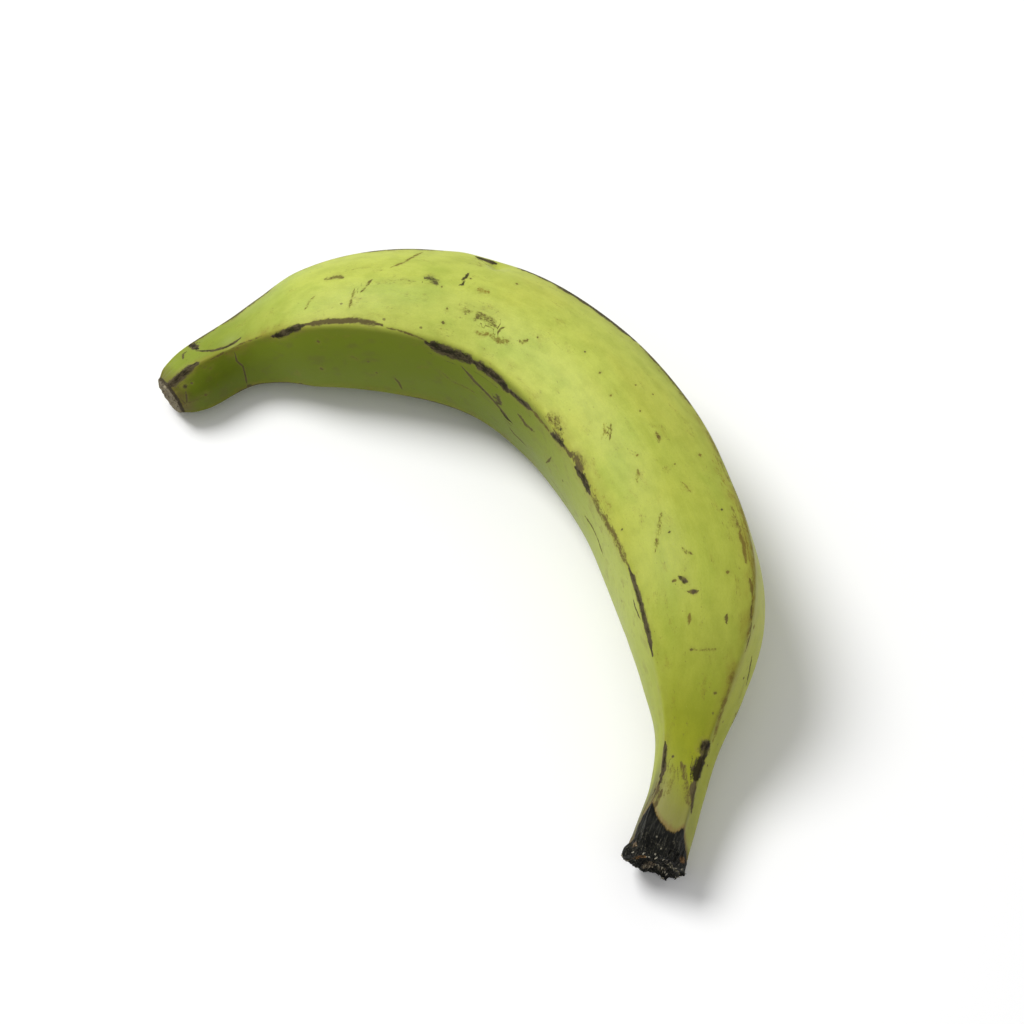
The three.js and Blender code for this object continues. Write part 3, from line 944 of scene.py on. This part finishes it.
# Marks from the lowest up: (attribute, strength, how uneven their edges are).
MARK_LAYERS = (("scuffs", 0.95, 0.6), ("scratches", 0.9, 0), ("spots", 0.85, 2.8))
# Specks: (how close they are, strength).
SPECKS = ((0.21, 0.7), (0.47, 0.4))
SPECK_STRETCH = 0.76


def marked_peel(s, base, grown, fleck):
    """The colour with scuffs, scratches and spots on it, and how much each place is marked.

    A mark is dense in its middle and breaks up into specks towards its edge.
    """
    coarse = s.noise(grown, 0.35, 0.8)
    fine = s.noise(grown, 1.3, 2.3, detail=4, roughness=0.7)
    broken = s.blend(0.55, coarse, fine)
    marked = 0
    for name, strong, uneven in MARK_LAYERS:
        _, across, cover, tone = s.attribute(name)
        away = s.uneven(s.size(across), fine, 0.45, uneven)
        dense = s.times(cover, s.ramp(away, 2.1, 0.1))
        limit = s.minus(0.7, s.times(dense, 0.46))
        mask = s.times(s.ramp(s.minus(broken, limit), -0.08, 0.14), s.ramp(dense, 0, 0.2))
        halo = s.times(s.ramp(away, 3.2, 0.5), s.ramp(coarse, 0.3, 0.65, 0.1, 0.8))
        base = s.mix(s.times(halo, s.times(cover, 0.5)), base, HALO)
        worn = s.plus(s.blend(0.6, fleck, coarse), s.times(away, 0.08))
        worn = s.plus(worn, s.times(tone, 0.6))
        mark = s.tint(BLACK, (GREY, worn, 0.46, 0.67), (BROWN, tone, 0.1, 0.5),
                      (YELLOW_BROWN, tone, 0.5, 1))
        base = s.mix(s.times(mask, strong), base, mark)
        marked = s.larger(marked, mask)
    return base, marked


def peel_material():
    s = Steps("plantain_peel")
    grown = s.attribute("grown")[0]
    _, below, outside, stained = s.attribute("where")
    _, dry, tip, share = s.attribute("state")
    _, patch, _, patch_tone = s.attribute("torn")
    fleck = s.noise(grown, 1, 2.4, detail=4, roughness=0.7)
    grain = s.noise(grown, 1.6, 2.6, detail=5, roughness=0.65)
    streaks = s.noise(grown, 0.04, 0.7, detail=4, roughness=0.6)
    clouds = s.noise(grown, 0.03, 0.07, detail=4)
    mottles = s.noise(grown, 0.17, 0.27, detail=4)
    stains = s.noise(grown, 0.13, 0.26, detail=5, roughness=0.65)
    ribs = s.noise(grown, 0.16, 2.4, detail=5, roughness=0.7)
    crumbs = s.noise(grown, 1.3, 1.3, detail=5, roughness=0.75)
    shreds = s.noise(grown, 0.7, 2, detail=6, roughness=0.75)

    # the living peel
    base = s.tint(
        UPPER,
        (UPPER_YELLOW, clouds, 0.5, 0.72, 0, 0.45),
        (UPPER_GREEN, clouds, 0.48, 0.3, 0, 0.5),
        (TIP, share, 0.2, 0.05, 0, 0.9),
        # painted shade: the upper facets darken towards the neck
        (NECK_OLIVE_AND_SHADE, share, 0.44, 0.7, 0, 0.37))
    # painted light: the lower facets turn pale towards the stalk as if lit by the pale floor
    lower = s.tint(LOWER, (LOWER_TIP, share, 0.14, 0.05), (LOWER_PALE_WITH_FLOOR_LIGHT, share, 0.4, 0.72))
    base = s.mix(below, base, lower)
    base = s.mix(outside, base, OUTSIDE)
    upper = s.minus(1, s.times(s.larger(below, outside), 0.5))
    base = s.tint(
        base,
        # the neck's olive colour, with painted shade on its upper facets
        (NECK_OLIVE_AND_SHADE, share, 0.76, 0.9, 0, 0.9, upper),
        (LOWER, streaks, 0.32, 0.66, 0.06, 0),
        (LOWER, grain, 0.35, 0.6, 0.1, 0),
        (LOWER, mottles, 0.3, 0.65, 0.18, 0),
        (BROWN, mottles, 0.52, 0.7, 0, 0.3, below),
        (STAIN, stains, 0.3, 0.66, 0.15, 0.75, stained),
        (YELLOW_BROWN, stains, 0.58, 0.74, 0, 0.3),
        (DUST, grain, 0.66, 0.74, 0, 0.2))

    # freckles where it is stained, and small specks that are everywhere
    base = s.tint(base, (BROWN, stains, 0.5, 0.68, 0, 0.65, s.ramp(fleck, 0.54, 0.68)))
    for spread, strength in SPECKS:
        places = s.stretched(grown, SPECK_STRETCH * spread, spread)
        cells = s.node("TexVoronoi", {"Vector": places, "Scale": 1}).outputs
        lot = s.node("SeparateColor", {0: cells["Color"]}).outputs[0]
        away = s.uneven(cells["Distance"], grain, 0.5, 0.1)
        room = s.minus(s.ramp(lot, 0.55, 1, 0, 0.1), away)
        speck = s.times(s.ramp(room, -0.01, 0.03), s.ramp(lot, 0.5, 0.9, 0, strength))
        base = s.mix(speck, base, BROWN)

    # it is tan before the dried stalk, and brown before the blossom scar
    dry_edge = s.uneven(dry, s.blend(0.5, ribs, fleck), 0.5, 3)
    tip_edge = s.uneven(tip, crumbs, 0.5, 1.2)
    stained_edge = s.plus(dry_edge, s.times(stains, 2))
    mottled_edge = s.plus(tip_edge, s.times(mottles, 5))
    base = s.tint(
        base,
        (TAN, dry_edge, -20, -2, 0, 0.62, upper),
        (DULL_BROWN, dry_edge, -25, -3, 0, 0.9, below),
        (STALK_RIM, stained_edge, -1.4, 0.8, 0, 0.8),
        (BROWN, mottled_edge, -3, 2.6, 0, 0.75))
    base, marked = marked_peel(s, base, grown, fleck)

    # the dried stalk
    dried = s.ramp(dry_edge, -0.3, 0.5)
    rim = s.ramp(share, 0.977, 0.99)
    patched = s.times(s.ramp(patch, 1.4, 0.6), s.ramp(shreds, 0.42, 0.58))
    stalk = s.tint(STALK_BLACK, (STALK_GREY, ribs, 0.48, 0.78),
                   (CRUMBS, shreds, 0.53, 0.7, 0, 0.5, rim))
    stalk = s.mix(patched, stalk, s.mix(patch_tone, CRUMBS, FIBRE_GOLD))
    base = s.mix(dried, base, stalk)

    # the blossom scar, with a dark outline
    scarred = s.ramp(tip_edge, -0.35, -0.1)
    scar = s.tint(TIP_DARK, (TIP_BROWN, crumbs, 0.36, 0.5), (TIP_TAN, crumbs, 0.6, 0.7, 0, 0.8))
    scar = s.mix(patched, scar, s.mix(patch_tone, CRUMBS, TIP_TAN))
    scar = s.tint(scar, (TIP_DARK, s.size(tip_edge), 0.5, 0.15, 0, 0.85))
    base = s.mix(scarred, base, scar)

    # waxy where it lives, dull where it is scuffed or dry; and bumps, each with its mm
    dull = s.larger(s.larger(marked, s.times(dried, 0.2)), scarred)
    rough = s.blend(dull, s.ramp(grain, 0.3, 0.7, 0.42, 0.54), 0.8)
    height = s.times(grain, 0.03)
    for bumps, much in (
            (streaks, 0.04), (s.times(marked, fleck), -0.09), (s.times(dried, ribs), 0.8),
            (s.times(rim, shreds), 1.2), (s.times(scarred, crumbs), 0.5)):
        height = s.plus(height, s.times(bumps, much))
    bump = s.node("Bump", {"Height": height, "Distance": MM, "Strength": 1})
    return s.finish(Base_Color=base, Roughness=rough, Normal=bump.outputs[0],
                    Subsurface_Weight=0.12, Subsurface_Radius=(1, 1, 0.3),
                    Subsurface_Scale=1.5 * MM, Specular_IOR_Level=0.18)


def fibre_material():
    s = Steps("plantain_fibre")
    tone = s.node("Attribute", {}, attribute_name="tone").outputs["Fac"]
    base = s.tint(STALK_BLACK, (CRUMBS, tone, -0.9, 0), (FIBRE_GOLD, tone, 0.2, 1))
    return s.finish(Base_Color=base, Roughness=0.75, Specular_IOR_Level=0.3)


def floor_material():
    s = Steps("pale_floor")
    return s.finish(Base_Color=FLOOR, Roughness=0.9, Specular_IOR_Level=0.1)


# ---- the stage ----

FLOOR_SIZE = 4000
FLOOR_DEPTH = 0.1
# Soft lights: (name, azimuth from +X, elevation, distance and size in m, power in W).
LIGHTS = [("key", 196, 54, 2.4, 1.25, 38), ("fill", 330, 50, 1.6, 1.2, 1.6)]
WORLD_STRENGTH = 0.35
NEAREST_SEEN = 0.01        # m


def floor_object():
    corners = [(x * FLOOR_SIZE, y * FLOOR_SIZE, -FLOOR_DEPTH)
               for x, y in ((-1, -1), (1, -1), (1, 1), (-1, 1))]
    floor = mesh_object("floor", corners, [(0, 1, 2, 3)])
    floor.data.materials.append(floor_material())
    return floor


def area_light(name, azimuth, elevation, distance, size, power):
    """A light that looks at the fruit from a direction."""
    a, e = math.radians(azimuth), math.radians(elevation)
    place = Vector((math.cos(a) * math.cos(e), math.sin(a) * math.cos(e), math.sin(e)))
    data = bpy.data.lights.new(name, "AREA")
    data.shape, data.size, data.energy = "DISK", size, power
    light = in_scene(name, data)
    light.location = place * distance
    light.rotation_euler = (-place).to_track_quat("-Z", "Y").to_euler()


def set_light():
    for *where, power in LIGHTS:
        area_light(*where, power * BRIGHTNESS)
    world = bpy.data.worlds.new("studio")
    world.use_nodes = True
    background = world.node_tree.nodes["Background"].inputs
    background["Color"].default_value = (1, 1, 1, 1)
    background["Strength"].default_value = WORLD_STRENGTH * BRIGHTNESS
    bpy.context.scene.world = world
    bpy.context.scene.view_settings.view_transform = "Standard"


def set_camera():
    _, _, back = view_axes()
    data = bpy.data.cameras.new("camera")
    data.sensor_width = SENSOR_WIDTH
    data.lens = VIEW_FOCAL / PHOTO_SIZE * SENSOR_WIDTH
    data.clip_start = NEAREST_SEEN
    camera = in_scene("camera", data)
    camera.location = Vector((np.array(VIEW_TARGET) + back * VIEW_DISTANCE) * MM)
    camera.rotation_euler = Vector(-back).to_track_quat("-Z", "Y").to_euler()
    bpy.context.scene.camera = camera


skin = Skin()
weather(skin)
peel = skin_object(skin, "plantain_skin")
peel.data.materials.append(peel_material())
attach(peel, "root")
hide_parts("plantain")
fibres = fibres_object(skin, "stalk_fibres")
fibres.data.materials.append(fibre_material())
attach(fibres, "root")

floor_object()
set_light()
set_camera()
